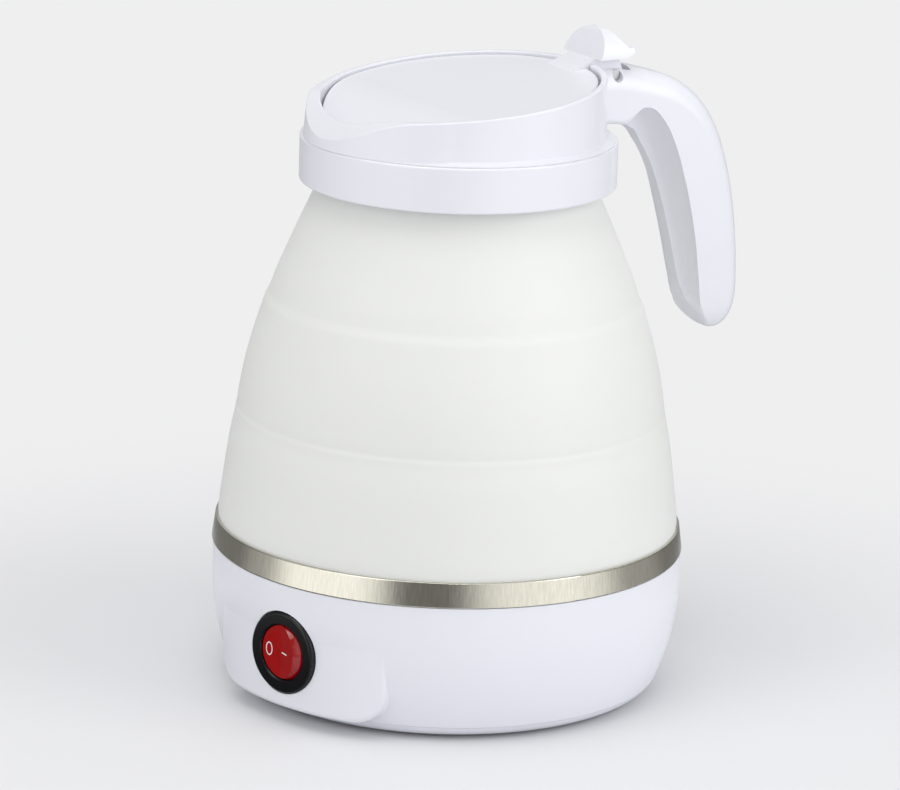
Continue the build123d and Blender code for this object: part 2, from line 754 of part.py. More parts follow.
def silicone_upper_ring():
    flange_top = neck_flange_z + neck_flange_thickness - joint_gap
    outer = Spline((ring_high_fold_radius, high_fold_z), (upper_shoulder_radius, high_fold_z + upper_shoulder_rise),
                   (upper_middle_radius, high_fold_z + upper_middle_rise), (neck_radius, collar_bottom_z))
    wall = silicone_wall
    inner = Spline((neck_radius - wall, collar_bottom_z),
                   (upper_middle_radius - wall, high_fold_z + upper_middle_rise),
                   (upper_shoulder_radius - wall, high_fold_z + upper_shoulder_rise),
                   (ring_high_fold_radius - wall, high_fold_z))
    neck = path(outer @ 1, (neck_radius, neck_flange_z + joint_gap), (neck_flange_radius, neck_flange_z + joint_gap),
                (neck_flange_radius, flange_top), (neck_radius - wall, flange_top), inner @ 0)
    return turned(*edges_of(outer, neck, inner, Line(inner @ 1, outer @ 0)))


# Collar and pouring head


def collar_ring():
    body = ring(collar_radius, collar_bore_radius, collar_bottom_z, collar_top_z)
    body += ring(collar_radius, neck_radius + seat_gap, collar_bottom_z, neck_flange_z)
    rims = [e for e in body.edges().filter_by(GeomType.CIRCLE) if abs(e.radius - collar_radius) < joint_gap]
    rims.sort(key=lambda e: e.center().Z)
    body = fillet(rims[-1:], collar_top_round)
    rims = [e for e in body.edges().filter_by(GeomType.CIRCLE) if abs(e.radius - collar_radius) < joint_gap]
    rims.sort(key=lambda e: e.center().Z)
    return fillet(rims[:1], collar_bottom_round)


def slope_z(x, lift=0.0):
    """Height of the sloping rim plane, or of a plane that lies under or over it."""
    return rim_z + lift + x * tan(radians(rim_tilt))


def bent_z(x, lift, tip, run, drop):
    """Height of a surface on that slope which bends down over its last run to the spout."""
    past = max(run - tip - x, 0.0) / run
    return slope_z(x, lift) - drop * past * past


def space_over(lift, tip, run, drop):
    """All the room above such a bent surface."""
    bend_x, tip_x = run - tip, -tip
    half_x = (bend_x + tip_x) / 2
    reach = 2 * lip_radius
    slope = Line((reach, slope_z(reach, lift)), (bend_x, slope_z(bend_x, lift)))
    bend = Bezier(slope @ 1, (half_x, slope_z(half_x, lift)), (tip_x, slope_z(tip_x, lift) - drop))
    end_z = slope_z(tip_x, lift) - drop
    rest = path(bend @ 1, (-reach, end_z), (-reach, sky_z), (reach, sky_z), slope @ 0)
    return extrude(Plane.XZ * make_face(Wire(edges_of(slope, bend, rest))), reach, both=True)


def over_rim():
    return space_over(0, lip_radius, spout_run, spout_drop)


def over_lid(lift, droop=lid_droop):
    return space_over(lift, lid_radius, lid_droop_run, droop)


def edges_on(body, height, radius):
    """Edges of a body that lie on a surface, outside a radius about Z."""
    found = []
    for edge in body.edges():
        points = [edge @ share for share in (0, 0.5, 1)]
        if all(abs(p.Z - height(p.X)) < joint_gap and sqrt(p.X ** 2 + p.Y ** 2) > radius for p in points):
            found.append(edge)
    return found


def teardrop(radius, tip):
    """Outline of the lid's bed: a circle drawn out a little towards the spout."""
    spread = acos(radius / tip)
    x, y = -radius * cos(spread), radius * sin(spread)
    return Circle(radius) + Polygon((-tip, 0), (x, y), (x, -y), align=None)


def pour_cover():
    skirt_radius = collar_bore_radius - seat_gap
    foot_edge_radius = head_wall_radius + head_foot_width
    foot_z = collar_top_z + joint_gap
    foot_edge_z = foot_z + head_foot_rise / 4
    foot = Bezier((foot_edge_radius, foot_edge_z), (head_wall_radius, foot_edge_z),
                  (head_wall_radius, foot_z + head_foot_rise))
    wall = path(foot @ 1, (head_top_radius, sky_z), (0, sky_z), (0, head_bottom_z), (skirt_radius, head_bottom_z),
                (skirt_radius, foot_z), (foot_edge_radius, foot_z), foot @ 0)
    body = turned(*edges_of(foot, wall))
    beak_radius = lip_radius - lip_offset
    low = Plane.XY.offset(foot_z) * Pos(-lip_offset, 0) * Circle(beak_radius)
    high = Plane.XY.offset(sky_z) * Circle(head_top_radius)
    body += loft([low, high], ruled=True)
    body -= over_rim()
    body -= ring(throat_radius, 0, head_bottom_z - overrun, sky_z)
    mouth_x = -lid_radius - pour_gap
    bed = Plane.XY.offset(head_bottom_z) * teardrop(lid_radius + lid_gap, -mouth_x)
    bed = extrude(bed, sky_z - head_bottom_z)
    body -= bed & over_lid(-lid_sink - lid_thickness - seat_gap)
    rim = edges_on(body, lambda x: bent_z(x, 0, lip_radius, spout_run, spout_drop), lid_radius)
    body = fillet(rim, rim_round)
    lip_z = slope_z(-lip_radius) - spout_drop
    channel_x = channel_depth - throat_radius
    channel = Polygon((channel_x, lip_z - channel_depth), (mouth_x, lip_z - channel_step), (mouth_x, sky_z),
                      (channel_x, sky_z), align=None)
    body -= extrude(Plane.XZ * channel, channel_half_width, both=True) & bed
    notch = Box(pin_reach + lever_rear_reach + overrun, 2 * (knuckle_half_width + moving_gap), sky_z,
                align=(Align.MIN, Align.CENTER, Align.MIN))
    body -= Pos(throat_radius - moving_gap, 0, slot_floor_z()) * notch
    for side in (-1, 1):
        place = Pos(throat_radius + handle_screw_sink, side * handle_screw_spread, handle_screw_z) * Rot(0, 90, 0)
        hole = Cylinder(handle_screw_radius + seat_gap, 4 * overrun)
        head = Cylinder(handle_screw_head_radius + seat_gap, 2 * handle_screw_head_height)
        body -= place * (hole + head)
    return body


# Handle


def curve_share(rows, share):
    """Values at a share of the way along evenly spaced rows, on a smooth curve through them."""
    last = len(rows) - 1
    k = min(int(share * last), last - 1)
    t = share * last - k
    before, here, after, beyond = (rows[min(max(k + step, 0), last)] for step in (-1, 0, 1, 2))
    return [b + t * (c - a) / 2 + t ** 2 * (2 * a - 5 * b + 4 * c - d) / 2 + t ** 3 * (3 * b - a - 3 * c + d) / 2
            for a, b, c, d in zip(before, here, after, beyond)]


def handle_section(share):
    """Frame across the bar, its depth and its width, at a share of the way along it."""
    flat = [(*back, *inside, width) for back, inside, width in handle_section_shares]
    back_x, back_z, in_x, in_z, width = curve_share(flat, share)
    top = collar_top_z + handle_rise
    bx, ix = (handle_root_x + along * handle_reach for along in (back_x, in_x))
    bz, iz = (top - down * handle_drop for down in (back_z, in_z))
    depth = sqrt((bx - ix) ** 2 + (bz - iz) ** 2)
    across, inwards = Vector(0, 1, 0), Vector((bx - ix) / depth, 0, (bz - iz) / depth)
    frame = Plane(origin=(ix, 0, iz), x_dir=across, z_dir=across.cross(inwards))
    return frame, depth, width * handle_width


def slot_floor_z():
    """Floor of the hinge slot, just under the knuckle."""
    return pin_z - knuckle_radius - moving_gap


def handle_outline(depth, width, set_back, inside, hollow):
    """Section of the bar: a round back, and sides that swing in from a crisp edge to the inside."""
    half, turns = width / 2, (22.5, 45, 67.5)
    back = min(handle_back_round, half - joint_gap, depth - set_back - joint_gap)
    edge, keel = (half, set_back), (inside, 0)
    corner = [edge]
    for turn in turns:
        full = (inside + (half - inside) * cos(radians(turn)), set_back * (1 - sin(radians(turn))))
        hollowed = (half - (half - inside) * sin(radians(turn)), set_back * cos(radians(turn)))
        corner.append(tuple(f + hollow * (h - f) for f, h in zip(full, hollowed)))
    corner.append(keel)
    with BuildLine() as line:
        Line((-inside, 0), keel)
        Spline(*reversed(corner))
        Line(edge, (half, depth - back))
        RadiusArc((half, depth - back), (half - back, depth), -back)
        Line((half - back, depth), (back - half, depth))
        RadiusArc((back - half, depth), (-half, depth - back), -back)
        Line((-half, depth - back), (-half, set_back))
        Spline(*((-u, v) for u, v in corner))
    return make_face(line.edges())


def handle_stations():
    """Shares of the way along the bar, up to its tip, whose sections stand evenly apart."""
    fine = [handle_tip_share * k / 240 for k in range(241)]
    middles = []
    for share in fine:
        frame, depth, _ = handle_section(share)
        middles.append(frame.origin + frame.y_dir * (depth / 2))
    run = [0]
    for here, there in zip(middles, middles[1:]):
        run.append(run[-1] + (there - here).length)
    count = round(run[-1] / handle_section_gap)
    return [along_rows(list(zip(run, fine)), run[-1] * k / count)[0] for k in range(count + 1)]


def along_rows(rows, place):
    """Values at a place between rows that start with their own place."""
    for near, far in zip(rows, rows[1:]):
        if place <= far[0]:
            break
    part = min((place - near[0]) / (far[0] - near[0]), 1)
    return [a + part * (b - a) for a, b in zip(near[1:], far[1:])]


def handle_face(share):
    frame, depth, width = handle_section(share)
    set_back, inside, hollow = along_rows(handle_side_shares, share)
    return frame * handle_outline(depth, width, scoop_set_back * set_back, width / 2 * inside, hollow)


def handle_body():
    bar = [handle_face(share) for share in handle_stations()]
    tip = [bar[-1]] + [handle_face(row[0]) for row in handle_side_shares if row[0] > handle_tip_share]
    return loft(bar) + loft(tip)


def handle():
    body = handle_body()
    body -= ring(head_wall_radius + joint_gap, 0, 0, sky_z)
    swing = sqrt((knuckle_radius / 2) ** 2 + lever_foot ** 2) + moving_gap
    slot = Box(pin_x + swing, 2 * (knuckle_half_width + moving_gap), sky_z,
               align=(Align.MIN, Align.CENTER, Align.MIN))
    body -= Pos(0, 0, slot_floor_z()) * slot
    body -= Pos(pin_x, 0, pin_z) * Rot(90, 0, 0) * Cylinder(pin_radius + bore_gap, 4 * lever_half_width)
    for side in (-1, 1):
        place = Pos(throat_radius, side * handle_screw_spread, handle_screw_z) * Rot(0, 90, 0)
        length = handle_screw_head_height + handle_screw_length + seat_gap
        body -= place * Cylinder(handle_screw_radius + joint_gap, length,
                                 align=(Align.CENTER, Align.CENTER, Align.MIN))
    return body


def handle_screws():
    one = screw(handle_screw_radius, handle_screw_length, handle_screw_head_radius, handle_screw_head_height)
    return [Pos(throat_radius + handle_screw_sink - handle_screw_head_height, side * handle_screw_spread,
                handle_screw_z) * Rot(0, 90, 0) * one for side in (-1, 1)]


def lid_hinge_pin():
    length = 2 * (lever_half_width - pin_recess)
    return Pos(pin_x, 0, pin_z) * Rot(90, 0, 0) * Cylinder(pin_radius, length)


# Lid


def lid_lever():
    """Thumb lever: a leaning fin with a pad behind it, over the hinge."""
    front = Line((lever_front_x, lever_foot_z), (lever_peak_x - lever_round, lever_peak_z - lever_round))
    back = Spline(front @ 1, (lever_peak_x, lever_peak_z), (lever_pad_x, lever_pad_z), (lever_rear_x, lever_rear_z))
    rest = path(back @ 1, (lever_rear_x, lever_foot_z + lever_foot_cut / 2),
                (lever_rear_x - lever_foot_cut, lever_foot_z), front @ 0)
    side = extrude(Plane.XZ * make_face(Wire(edges_of(front, back, rest))), lever_half_width, both=True)
    rise = lever_peak_z - lever_foot_z
    dome = Ellipse(lever_half_width, rise) + Rectangle(2 * lever_half_width, rise, align=(Align.CENTER, Align.MAX))
    dome = extrude(Plane.YZ * Pos(0, lever_foot_z) * dome, 2 * lever_rear_x)
    return side & dome


def lid_arm():
    """Arm that ramps up from the lid plate to the foot of the lever and the hinge knuckle."""
    half = knuckle_half_width
    knuckle = Pos(pin_x, 0, pin_z) * Rot(90, 0, 0) * Cylinder(knuckle_radius, 2 * half)
    start, ramp_x = lid_radius - plug_wall, lever_front_x - arm_ramp
    arm = Polygon((ramp_x, slope_z(ramp_x, -lid_sink - lid_thickness / 2)), (ramp_x, slope_z(ramp_x, -lid_sink)),
                  (lever_front_x, lever_foot_z + joint_gap), (pin_x + knuckle_radius / 2, lever_foot_z + joint_gap),
                  (pin_x + knuckle_radius, pin_z), (pin_x, pin_z - knuckle_radius),
                  (start, slope_z(start, -lid_sink - lid_thickness)), align=None)
    return knuckle + extrude(Plane.XZ * arm, half, both=True)


def lid_cover():
    plate = ring(lid_radius, 0, collar_bottom_z, sky_z) - over_lid(-lid_sink)
    plate &= over_lid(-lid_sink - lid_thickness)
    top = edges_on(plate, lambda x: bent_z(x, -lid_sink, lid_radius, lid_droop_run, lid_droop), plug_radius)
    body = fillet(top, lid_round) + lid_arm() + lid_lever()
    return body - Pos(pin_x, 0, pin_z) * Rot(90, 0, 0) * Cylinder(pin_radius + bore_gap, 4 * lever_half_width)


def plug_disc(radius, top, bottom):
    """Slice of an upright disc between the drooping surface of the lid and a plane along its slope."""
    disc = ring(radius, 0, collar_bottom_z, sky_z) - over_lid(top)
    disc &= over_lid(bottom, 0)
    front = Box(2 * lip_radius, 4 * lip_radius, 2 * sky_z, align=(Align.MAX, Align.CENTER, Align.MIN))
    return disc - Pos(plug_cut - plug_radius, 0, 0) * front


def plug_top():
    return -lid_sink - lid_thickness - joint_gap


def lid_plug():
    body = plug_disc(plug_radius, plug_top(), plug_top() - plug_depth)
    body -= plug_disc(plug_radius - plug_wall, plug_top() - plug_wall, plug_top() - 2 * plug_depth)
    middle = plug_top() - plug_depth / 2
    groove = plug_disc(2 * plug_radius, middle + seal_height / 2 + joint_gap, middle - seal_height / 2 - joint_gap)
    return body - (groove - ring(plug_radius - seal_depth / 2, 0, 0, sky_z))


def lid_seal():
    middle = plug_top() - plug_depth / 2
    body = plug_disc(seal_radius, middle + seal_height / 2, middle - seal_height / 2)
    return body - ring(plug_radius - seal_depth / 2 + joint_gap, 0, 0, sky_z)


def group(bodies):
    return Compound(children=[solid for body in bodies for solid in body.solids()])


os.makedirs("parts", exist_ok=True)
save("base_housing", base_housing())
save("bottom_cover", bottom_cover())
save("rubber_feet", group(rubber_feet()))
save("base_screws", group(base_screws()))
save("metal_band", metal_band())
save("steel_pan", steel_pan())
save("diffuser_plate", diffuser_plate())
save("heater_element", heater_element())
save("heater_pins", group(heater_pins()))
save("thermostat", thermostat())
save("thermostat_bracket", thermostat_bracket())
save("bracket_screws", group(bracket_screws()))
save("thermal_fuse", thermal_fuse())
save("switch_housing", switch_housing())
save("switch_rocker", switch_rocker())
save("switch_terminals", group(switch_terminals()))
save("inlet_socket", inlet_socket())
save("inlet_pins", group(inlet_pins()))
save("silicone_lower_ring", silicone_lower_ring())
save("silicone_middle_ring", silicone_middle_ring())
save("silicone_upper_ring", silicone_upper_ring())
save("collar_ring", collar_ring())
save("pour_cover", pour_cover())
save("handle", handle())
save("handle_screws", group(handle_screws()))
save("lid_hinge_pin", lid_hinge_pin())
save("lid_cover", lid_cover())
save("lid_plug", lid_plug())
save("lid_seal", lid_seal())
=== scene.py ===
import math

import bmesh
import bpy
from mathutils import Matrix, Quaternion, Vector


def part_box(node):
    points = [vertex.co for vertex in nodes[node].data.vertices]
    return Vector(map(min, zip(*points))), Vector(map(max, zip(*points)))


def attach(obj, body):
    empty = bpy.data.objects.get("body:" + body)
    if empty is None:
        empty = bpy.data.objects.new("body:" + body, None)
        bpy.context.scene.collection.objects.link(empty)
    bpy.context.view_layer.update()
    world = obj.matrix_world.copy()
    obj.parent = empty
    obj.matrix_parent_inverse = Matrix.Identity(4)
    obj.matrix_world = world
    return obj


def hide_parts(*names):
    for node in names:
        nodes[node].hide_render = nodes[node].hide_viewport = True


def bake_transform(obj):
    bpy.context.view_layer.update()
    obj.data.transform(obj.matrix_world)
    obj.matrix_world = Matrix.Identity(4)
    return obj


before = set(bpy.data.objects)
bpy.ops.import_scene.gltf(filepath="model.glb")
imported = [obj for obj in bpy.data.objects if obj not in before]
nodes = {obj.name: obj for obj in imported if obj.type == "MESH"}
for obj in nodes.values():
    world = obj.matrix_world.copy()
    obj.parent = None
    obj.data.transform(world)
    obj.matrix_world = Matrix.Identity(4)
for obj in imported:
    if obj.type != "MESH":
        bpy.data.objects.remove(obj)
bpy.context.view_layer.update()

# Camera and studio.
# The camera stands in front of the kettle and to the left, about fifteen degrees above it. A white
# floor runs out to a white sky. Three soft panels and one small lamp, for a glint, light the kettle.
camera_stand = Vector((-0.63755, -1.01663, 0.39963))
camera_aim = Vector((-0.0003, 0.0001, 0.07897))
camera_roll = math.radians(1.777)
camera_lens = 183.74


def put_in_scene(name, data):
    """A new object that holds this mesh, lamp or camera."""
    made = bpy.data.objects.new(name, data)
    bpy.context.scene.collection.objects.link(made)
    return made


def turned_to(aim, stand):
    """Rotation that points a camera or a lamp at its aim."""
    return (Vector(aim) - Vector(stand)).to_track_quat("-Z", "Y")


camera = put_in_scene("camera", bpy.data.cameras.new("camera"))
camera.data.lens = camera_lens
camera.data.clip_end = 100
camera.rotation_mode = "QUATERNION"
camera.location = camera_stand
camera.rotation_quaternion = turned_to(camera_aim, camera_stand) @ Quaternion((0, 0, 1), camera_roll)
bpy.context.scene.camera = camera
bpy.context.scene.view_settings.view_transform = "Standard"


class Wire:
    """One socket in a node tree, so that sums over a surface are written as sums."""

    def __init__(self, tree, socket=None):
        self.tree, self.socket = tree, socket

    def node(self, kind, settings=None, values=None, out=0):
        """Adds a node: its settings are set first, then its sockets get values or links."""
        made = self.tree.nodes.new("ShaderNode" + kind)
        for name, value in (settings or {}).items():
            setattr(made, name, value)
        for name, value in (values or {}).items():
            if isinstance(value, Wire):
                self.tree.links.new(value.socket, made.inputs[name])
            else:
                made.inputs[name].default_value = value
        return Wire(self.tree, made.outputs[out])

    def maths(self, operation, *values):
        return self.node("Math", {"operation": operation}, dict(enumerate(values)))

    def __add__(self, other):
        return self.maths("ADD", self, other)

    __radd__ = __add__

    def __rsub__(self, other):
        return self.maths("SUBTRACT", other, self)

    def __mul__(self, other):
        return self.maths("MULTIPLY", self, other)

    __rmul__ = __mul__

    def larger(self, other):
        return self.maths("MAXIMUM", self, other)

    def within(self, low, high):
        """0 below low, 1 above high, smooth between."""
        return self.node("MapRange", {"interpolation_type": "SMOOTHSTEP"},
                         {"Value": self, "From Min": low, "From Max": high})

    def tint(self, first, second):
        """Colour that goes from first to second as this value goes from 0 to 1."""
        return self.node("Mix", {"data_type": "RGBA"}, {"Factor": self, 6: (*first, 1), 7: (*second, 1)}, 2)


def place(wire):
    """Position on the piece, in metres."""
    return wire.node("TexCoord", out="Object")


def new_finish(name, **constants):
    """A material, the wire that adds to it, and a way to feed its shader, whose fixed sockets are set."""
    material = bpy.data.materials.new(name)
    material.use_nodes = True
    shader = material.node_tree.nodes["Principled BSDF"]
    for socket, value in constants.items():
        shader.inputs[socket.replace("_", " ")].default_value = value

    def feed(socket, value):
        material.node_tree.links.new(value.socket, shader.inputs[socket])

    return material, Wire(material.node_tree), feed


# What polished surfaces see round the kettle: a box's azimuth in degrees, how far from there it
# ends, how far it is full, and how strong it is.
soft_boxes = {"left": (184, 36, 6, 0.88), "left_skirt": (152, 22, 4, 0.2), "right": (284, 45, 6, 0.74),
              "right_skirt": (331, 27, 4, 0.15), "behind": (62, 34, 4, 0.2)}
glow_between_boxes = 0.105
box_strength = 1.38


def lobe(towards, azimuth, edge, core):
    """1 towards an azimuth in degrees, falling to 0 at the edge angle from it."""
    axis = (math.cos(math.radians(azimuth)), math.sin(math.radians(azimuth)), 0)
    level = towards.node("VectorMath", {"operation": "MULTIPLY"}, {0: towards, 1: (1, 1, 0)})
    level = towards.node("VectorMath", {"operation": "NORMALIZE"}, {0: level})
    facing = towards.node("VectorMath", {"operation": "DOT_PRODUCT"}, {0: level, 1: axis}, "Value")
    return facing.within(math.cos(math.radians(edge)), math.cos(math.radians(core)))


def studio_boxes(towards):
    """All the soft boxes, as they are seen in one direction."""
    glow = glow_between_boxes
    for azimuth, edge, core, strength in soft_boxes.values():
        glow = glow + strength * lobe(towards, azimuth, edge, core)
    return glow


# The floor turns into plain backdrop at a distance from the kettle. Only glossy rays see the boxes
# in it, as painted reflections. Beside the switch they see a small dark patch, a painted dark reflection.
backdrop_white = (0.862, 0.862, 0.868)
floor_seen_white = (0.74, 0.74, 0.745)
floor_lit_white = (0.72, 0.725, 0.752)
backdrop_begins, backdrop_full = 0.1, 0.27
boxes_begin, boxes_full = 0.13, 0.21
# Middle and reach of the painted dark reflection beside the switch, which only glossy rays see.
dark_reflection_middle = (-0.115, 0.02, 0)
dark_reflection_reach, dark_reflection_fade_reach = 0.05, 0.09
mirror_dark, mirror_white = (0.05, 0.05, 0.05), (1, 1, 1)
floor_half = 3.0
floor_white, wire, feed = new_finish("floor_white", Roughness=0.9)
floor_seen, floor_glossy = (wire.node("LightPath", out=ray) for ray in ("Is Camera Ray", "Is Glossy Ray"))
feed("Base Color", floor_seen.tint(floor_lit_white, floor_seen_white))
from_middle = wire.node("VectorMath", {"operation": "LENGTH"}, {0: place(wire)}, "Value")
from_dark_reflection = wire.node("VectorMath", {"operation": "DISTANCE"}, {0: place(wire), 1: dark_reflection_middle}, "Value")
outskirts = from_middle.within(boxes_begin, boxes_full)
# Painted dark reflection: beside the switch the floor turns dark for glossy rays only, so the switch reflects
# black.
painted_dark_reflection = 1 - from_dark_reflection.within(dark_reflection_reach, dark_reflection_fade_reach)
box_glow = studio_boxes(place(wire)) * outskirts
matt = Wire(wire.tree, wire.tree.nodes["Principled BSDF"].outputs[0])
plain = wire.node("Emission", {}, {"Color": (*backdrop_white, 1), "Strength": 1.0})
mirrored = wire.node("Emission", {}, {"Color": box_glow.tint(mirror_dark, mirror_white),
                                      "Strength": box_strength})
backdrop_share = from_middle.within(backdrop_begins, backdrop_full) * floor_seen
mirror_share = outskirts.larger(painted_dark_reflection) * floor_glossy
mixed = wire.node("MixShader", {}, {0: backdrop_share, 1: matt, 2: plain})
mixed = wire.node("MixShader", {}, {0: mirror_share, 1: mixed, 2: mirrored})
wire.tree.links.new(mixed.socket, wire.tree.nodes["Material Output"].inputs[0])
floor_mesh = bpy.data.meshes.new("floor")
floor_mesh.from_pydata([(x * floor_half, y * floor_half, 0) for x, y in ((-1, -1), (1, -1), (1, 1), (-1, 1))],
                       [], [(0, 1, 2, 3)])
floor_mesh.materials.append(floor_white)
floor = put_in_scene("floor", floor_mesh)

# The sky is the backdrop for the camera, the soft boxes for glossy rays, and soft light for the rest.
sky_light = (0.965, 0.97, 1.0)
sky_strength = 0.74
world = bpy.data.worlds.new("studio")
bpy.context.scene.world = world
world.use_nodes = True
sky = Wire(world.node_tree)
sky_seen, sky_glossy = (sky.node("LightPath", out=ray) for ray in ("Is Camera Ray", "Is Glossy Ray"))
sky_colour = sky_seen.tint(sky_light, backdrop_white)
sky_boxes = box_strength * studio_boxes(sky.node("TexCoord", out="Generated"))
sky_glow = sky_strength * (1 - sky_glossy) + sky_boxes * sky_glossy
sky_power = sky_seen + sky_glow * (1 - sky_seen)
background = world.node_tree.nodes["Background"]
world.node_tree.links.new(sky_colour.socket, background.inputs["Color"])
world.node_tree.links.new(sky_power.socket, background.inputs["Strength"])
kettle_middle = (0, 0, 0.12)


def soft_panel(name, stand, width, height, power, colour=(1, 1, 1)):
    """A light panel that faces the middle of the kettle."""
    light = bpy.data.lights.new(name, "AREA")
    light.shape, light.size, light.size_y = "RECTANGLE", width, height
    light.energy, light.color = power, colour
    made = put_in_scene(name, light)
    made.location = stand
    made.rotation_mode = "QUATERNION"
    made.rotation_quaternion = turned_to(kettle_middle, stand)


soft_panel("left_panel", (-1.2, -0.3, 0.7), width=0.7, height=1.1, power=2.3, colour=(1, 0.99, 0.97))
soft_panel("right_panel", (0.75, -1.08, 0.62), width=0.9, height=1.1, power=6.7, colour=(0.98, 0.985, 1))
soft_panel("top_panel", (-0.3, -0.1, 1.4), width=1.0, height=1.0, power=5.7)
soft_panel("glint_panel", (-0.62, -1.18, 0.68), width=0.06, height=0.08, power=0.5)

# White plastic mouldings.
# Base, bottom cover, collar, pouring head, handle and lid are moulded in one gloss white plastic,
# with a faint cool cast and the very slight waviness that moulded walls have.


def grain(wire, size, detail=2, stretch=(1, 1, 1)):
    """Noise whose features are about size across, stretched along the axes."""
    scaled = wire.node("VectorMath", {"operation": "MULTIPLY"}, {0: place(wire), 1: stretch})
    return wire.node("TexNoise", {}, {"Vector": scaled, "Scale": 1 / size, "Detail": detail})


def bumps(wire, height, depth, strength):
    """Normal for a height pattern that is depth metres deep."""
    return wire.node("Bump", {}, {"Height": height, "Distance": depth, "Strength": strength})


def uneven_finish(name, shades, patch, gloss, gloss_patch, bump_patch=None, bump_detail=2, bump_depth=0,
                  bump_strength=0, **constants):
    """A finish whose colour drifts between two shades, and whose roughness goes between two values, over
    patches of their own sizes. Fine bumps are added where they have a size."""
    material, wire, feed = new_finish(name, **constants)
    feed("Base Color", grain(wire, patch).tint(*shades))
    smooth, rough = gloss
    feed("Roughness", smooth + (rough - smooth) * grain(wire, gloss_patch))
    if bump_patch:
        feed("Normal", bumps(wire, grain(wire, bump_patch, bump_detail), bump_depth, bump_strength))
    return material


def dress(material, *pieces):
    """Gives CAD nodes or new pieces one finish all over."""
    for piece in pieces:
        mesh = (nodes[piece] if isinstance(piece, str) else piece).data
        mesh.materials.clear()
        mesh.materials.append(material)


white_plastic = uneven_finish(
    "white_plastic", shades=((0.785, 0.79, 0.826), (0.805, 0.81, 0.844)), patch=0.05,
    gloss=(0.25, 0.28), gloss_patch=0.0012,
    bump_patch=0.0012, bump_depth=0.000002, bump_strength=0.4,
    IOR=1.5, Specular_IOR_Level=0.4, Coat_Weight=0.08, Coat_Roughness=0.08)
dress(white_plastic, "base_housing", "bottom_cover", "collar_ring", "pour_cover", "handle", "lid_cover",
      "lid_plug")

# Silicone body.
# One soft moulding of milky food silicone: a foot under the band, three rings that step in at two
# thin fold lines, and a neck. It is drawn as one fixed skin; the real one rolls down as the head is pushed
# in.
silicone = uneven_finish(
    "silicone", shades=((0.77, 0.775, 0.734), (0.785, 0.79, 0.749)), patch=0.04,
    gloss=(0.45, 0.55), gloss_patch=0.003,
    bump_patch=0.0008, bump_detail=3, bump_depth=0.00001, bump_strength=0.5,
    IOR=1.41, Subsurface_Weight=0.3, Subsurface_Scale=0.004, Subsurface_Radius=(1.0, 0.9, 0.8))


def smooth_line(points, steps=6):
    """Curve that passes through all the points, with a few points added on each span."""
    ends = [2 * Vector(points[0]) - Vector(points[1]), *map(Vector, points),
            2 * Vector(points[-1]) - Vector(points[-2])]
    line = []
    for a, b, c, d in zip(ends, ends[1:], ends[2:], ends[3:]):
        for step in range(steps):
            t = step / steps
            line.append(b + t * (c - a) / 2 + t * t * (2 * a - 5 * b + 4 * c - d) / 2
                        + t ** 3 * (3 * b - a - 3 * c + d) / 2)
    return line + [Vector(points[-1])]


def turned(name, outline, sides=160):
    """Closed outline in radius and height, turned about the axis of the kettle."""
    mesh = bpy.data.meshes.new(name)
    count = len(outline)
    spots = []
    for side in range(sides):
        angle = math.tau * side / sides
        spots += [(r * math.cos(angle), r * math.sin(angle), z) for r, z in outline]
    faces = []
    for side in range(sides):
        near, far = side * count, (side + 1) % sides * count
        faces += [(near + k, far + k, far + (k + 1) % count, near + (k + 1) % count) for k in range(count)]
    mesh.from_pydata(spots, [], faces)
    mesh.polygons.foreach_set("use_smooth", [True] * len(mesh.polygons))
    return put_in_scene(name, mesh)


foot_z, low_fold_z = (corner[2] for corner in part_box("silicone_lower_ring"))
high_fold_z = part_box("silicone_middle_ring")[1][2]
flange_top_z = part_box("silicone_upper_ring")[1][2]
band_top_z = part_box("metal_band")[1][2]
collar_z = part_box("collar_ring")[0][2]
silicone_wall = 0.0024
neck_radius, flange_radius = 0.0369, 0.041
flange_z, neck_back_z = collar_z + 0.0019, collar_z + 0.0005
foot_radius, foot_lip_radius = 0.0594, 0.0629
foot_top_z = band_top_z + 0.0012
foot_lip_top = (0.0623, band_top_z - 0.0007)
wall_start = 9              # the inner wall begins this many points up the skin, above the foot

# The skin's outer side from the band up to the collar, each spot with its radius and height.
outside = [
    (0.06232, band_top_z - 0.0002), (0.06235, band_top_z + 0.0012), (0.0621, band_top_z + 0.0042),
    (0.0609, band_top_z + 0.0135), (0.0596, band_top_z + 0.0226), (0.05845, low_fold_z - 0.0032),
    (0.05812, low_fold_z - 0.0011), (0.0578, low_fold_z), (0.05768, low_fold_z + 0.0012),
    (0.0574, low_fold_z + 0.0034), (0.0562, low_fold_z + 0.0102), (0.0541, low_fold_z + 0.0187),
    (0.0515, high_fold_z - 0.0034), (0.05088, high_fold_z - 0.0015), (0.0503, high_fold_z - 0.0004),
    (0.04975, high_fold_z + 0.0007), (0.04915, high_fold_z + 0.0024), (0.0478, high_fold_z + 0.0062),
    (0.0434, high_fold_z + 0.0166), (0.0391, high_fold_z + 0.0263), (0.0371, collar_z)]
skin = smooth_line(outside)
neck = [(neck_radius, flange_z), (flange_radius, flange_z), (flange_radius, flange_top_z),
        (neck_radius - silicone_wall, flange_top_z), (neck_radius - silicone_wall, neck_back_z)]
inside = [(r - silicone_wall, z) for r, z in reversed(skin[wall_start:-1])]
foot = [(foot_radius, foot_top_z), (foot_radius, foot_z), (foot_lip_radius, foot_z), foot_lip_top]
body = turned("silicone_body", [*skin, *neck, *inside, *foot])
dress(silicone, body, "lid_seal")
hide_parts("silicone_lower_ring", "silicone_middle_ring", "silicone_upper_ring")
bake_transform(body)

